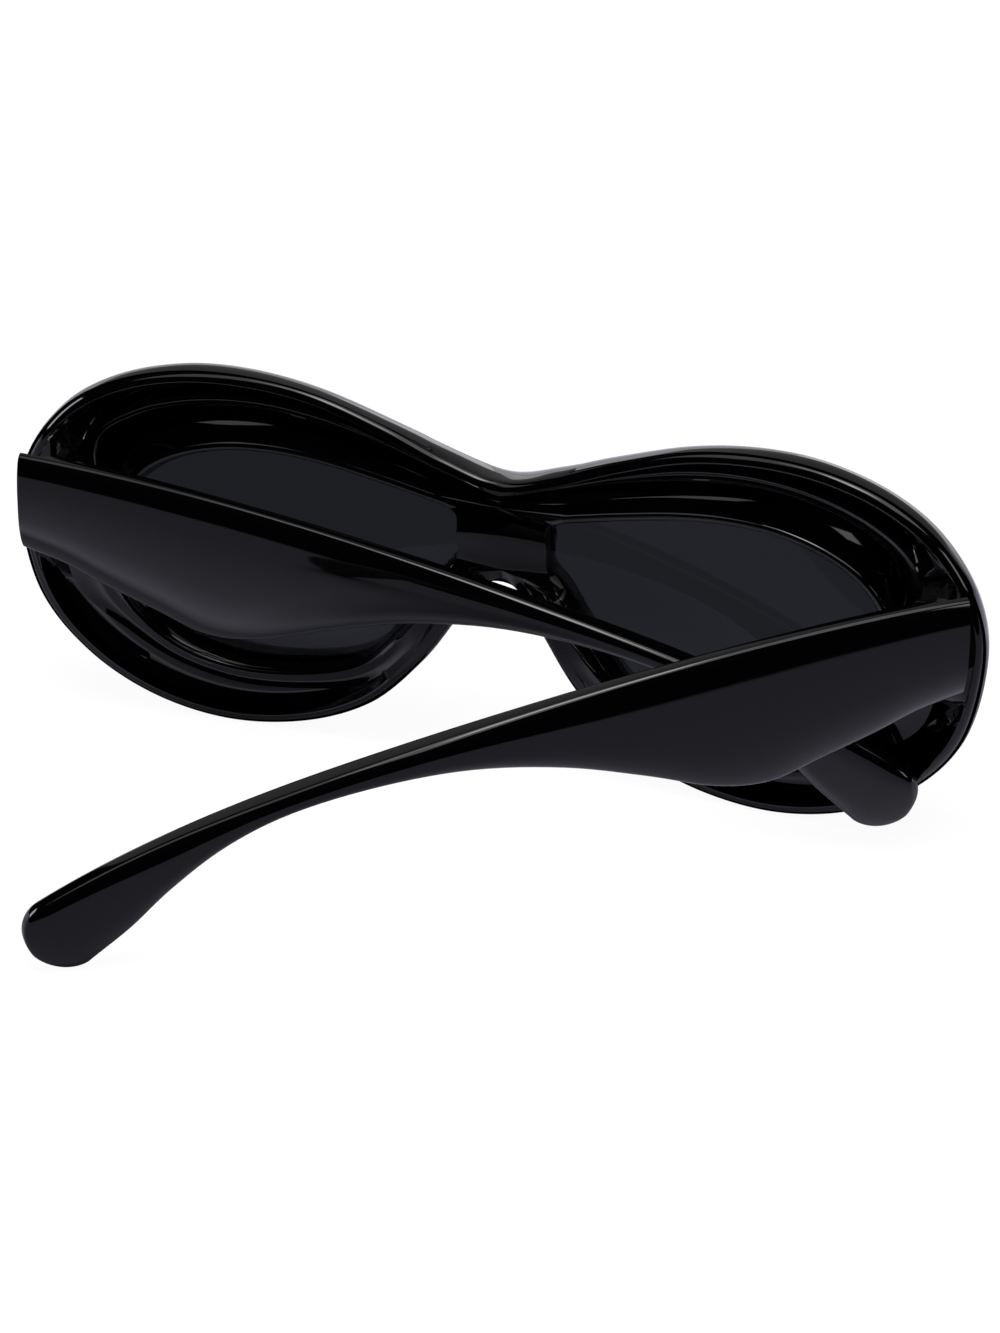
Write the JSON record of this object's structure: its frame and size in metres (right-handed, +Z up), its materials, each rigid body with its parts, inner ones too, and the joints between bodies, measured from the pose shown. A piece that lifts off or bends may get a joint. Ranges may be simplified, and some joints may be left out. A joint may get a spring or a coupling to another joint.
{
  "type": "sunglasses",
  "caption": "Oversized sunglasses with a puffed, hollow-backed glossy front, dark lenses, and broad drooping temples on knuckle hinges with screws.",
  "frame": {"origin": "centre of the bounding box in plan, on the surface that the sunglasses stand on", "axes": "+X toward the wearer's left end of the front as drawn, along its width; +Y back toward the wearer; +Z up"},
  "size_m": [0.1492, 0.0877, 0.0605],
  "materials": {
    "black_plastic": "polished injection moulded black plastic",
    "smoke_lens": "polished dark smoke lens, almost opaque",
    "hinge_steel": "plain stamped steel",
    "screw_steel": "turned steel, slotted head"
  },
  "bodies": {
    "front": {"front_frame": "black_plastic", "lens_left": "smoke_lens", "lens_right": "smoke_lens", "hinge_front_leaf_left": "hinge_steel", "hinge_front_leaf_right": "hinge_steel", "hinge_screw_left": "screw_steel", "hinge_screw_right": "screw_steel"},
    "left_temple": {"temple_left": "black_plastic", "hinge_temple_leaf_left": "hinge_steel"},
    "right_temple": {"temple_right": "black_plastic", "hinge_temple_leaf_right": "hinge_steel"}
  },
  "joints": [
    {"name": "left_hinge", "type": "hinge", "parent": "front", "child": "left_temple", "pos_m": [0.0686, -0.02626, 0.0394], "axis": [0, -0.0471, -0.9989], "range_deg": [0, 3]},
    {"name": "right_hinge", "type": "hinge", "parent": "front", "child": "right_temple", "pos_m": [-0.0686, -0.02626, 0.0394], "axis": [0, 0.0471, 0.9989], "range_deg": [-15, 55]}
  ]
}
